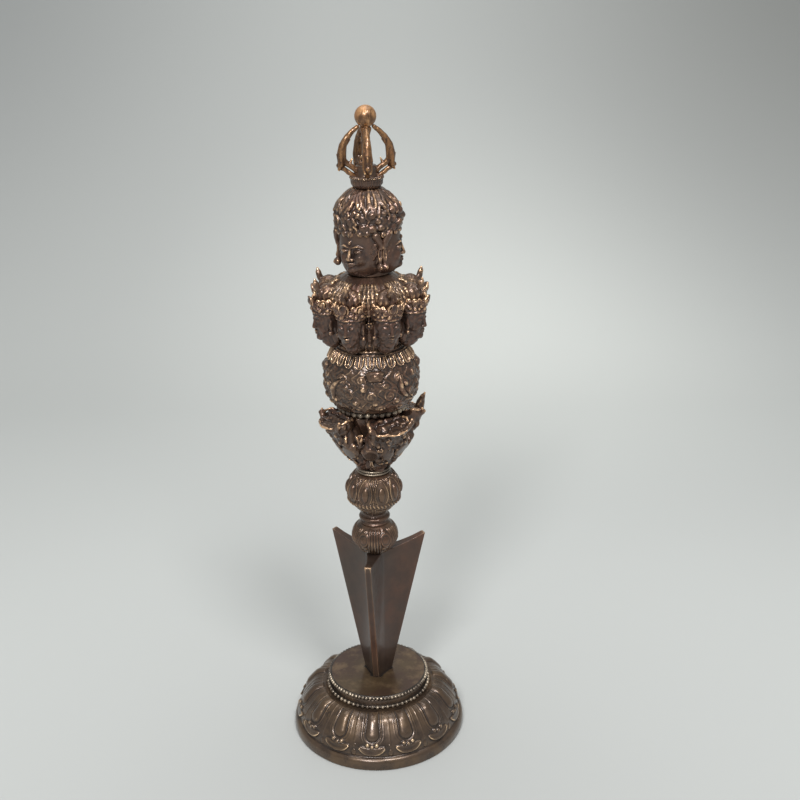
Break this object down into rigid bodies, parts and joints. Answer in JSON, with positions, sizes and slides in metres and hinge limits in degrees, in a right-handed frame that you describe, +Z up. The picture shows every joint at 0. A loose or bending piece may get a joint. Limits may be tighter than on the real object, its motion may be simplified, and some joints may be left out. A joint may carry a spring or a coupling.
{
  "type": "ritual dagger with stand",
  "caption": "Three-bladed ritual dagger in dark patinated bronze, with knots, open-mouthed heads, a globe, crowned heads and a half vajra, lifting out of a round lotus stand.",
  "frame": {"origin": "middle of the stand's flat underside", "axes": "+Z up along the dagger, -Y towards the side that the picture shows, +X to its right"},
  "size_m": [0.09, 0.09, 0.3205],
  "materials": {
    "stand_bronze": "worn dark patina",
    "disc_bronze": "mottled patina",
    "bead_brass": "rubbed bright on the tops",
    "blade_copper": "smooth red-brown patina",
    "rod_iron": "as forged",
    "dark_bronze": "dark patina",
    "worn_bronze": "patina rubbed through on relief",
    "globe_copper": "patina rubbed through on relief",
    "face_copper": "smooth patina",
    "ball_brass": "polished by handling"
  },
  "bodies": {
    "stand": {"lotus_base": "stand_bronze", "blade_socket": "stand_bronze", "base_disc": "disc_bronze", "disc_bead_rim": "bead_brass", "collar_bead_ring": "bead_brass"},
    "dagger": {"blade": "blade_copper", "core_rod": "rod_iron", "lower_knot": "worn_bronze", "neck_spool": "worn_bronze", "upper_knot": "worn_bronze", "knot_bead_belt": "bead_brass", "ring_pair": "bead_brass", "makara_core": "dark_bronze", "makara_head_1": "dark_bronze", "makara_head_2": "dark_bronze", "makara_head_3": "dark_bronze", "makara_head_4": "dark_bronze", "bead_string": "bead_brass", "globe": "globe_copper", "globe_petal_cap": "worn_bronze", "globe_rim_ring": "worn_bronze", "head_ring_core": "dark_bronze", "crowned_head_1": "face_copper", "crowned_head_2": "face_copper", "crowned_head_3": "face_copper", "crowned_head_4": "face_copper", "crowned_head_5": "face_copper", "crowned_head_6": "face_copper", "crowned_head_7": "face_copper", "crowned_head_8": "face_copper", "head_crown_1": "worn_bronze", "head_crown_2": "worn_bronze", "head_crown_3": "worn_bronze", "head_crown_4": "worn_bronze", "head_crown_5": "worn_bronze", "head_crown_6": "worn_bronze", "head_crown_7": "worn_bronze", "head_crown_8": "worn_bronze", "hanging_rosettes": "bead_brass", "petal_bib": "worn_bronze", "main_head_core": "dark_bronze", "face_1": "face_copper", "face_2": "face_copper", "face_3": "face_copper", "diadem": "bead_brass", "hair_cap": "dark_bronze", "lotus_cup": "worn_bronze", "middle_prong": "worn_bronze", "prong_1": "worn_bronze", "prong_2": "worn_bronze", "prong_3": "worn_bronze", "prong_4": "worn_bronze", "finial_ball": "ball_brass"}
  },
  "joints": [
    {"name": "dagger_lift", "type": "slide", "parent": "stand", "child": "dagger", "axis": [0, 0, 1], "range_m": [0, 0.06]}
  ]
}
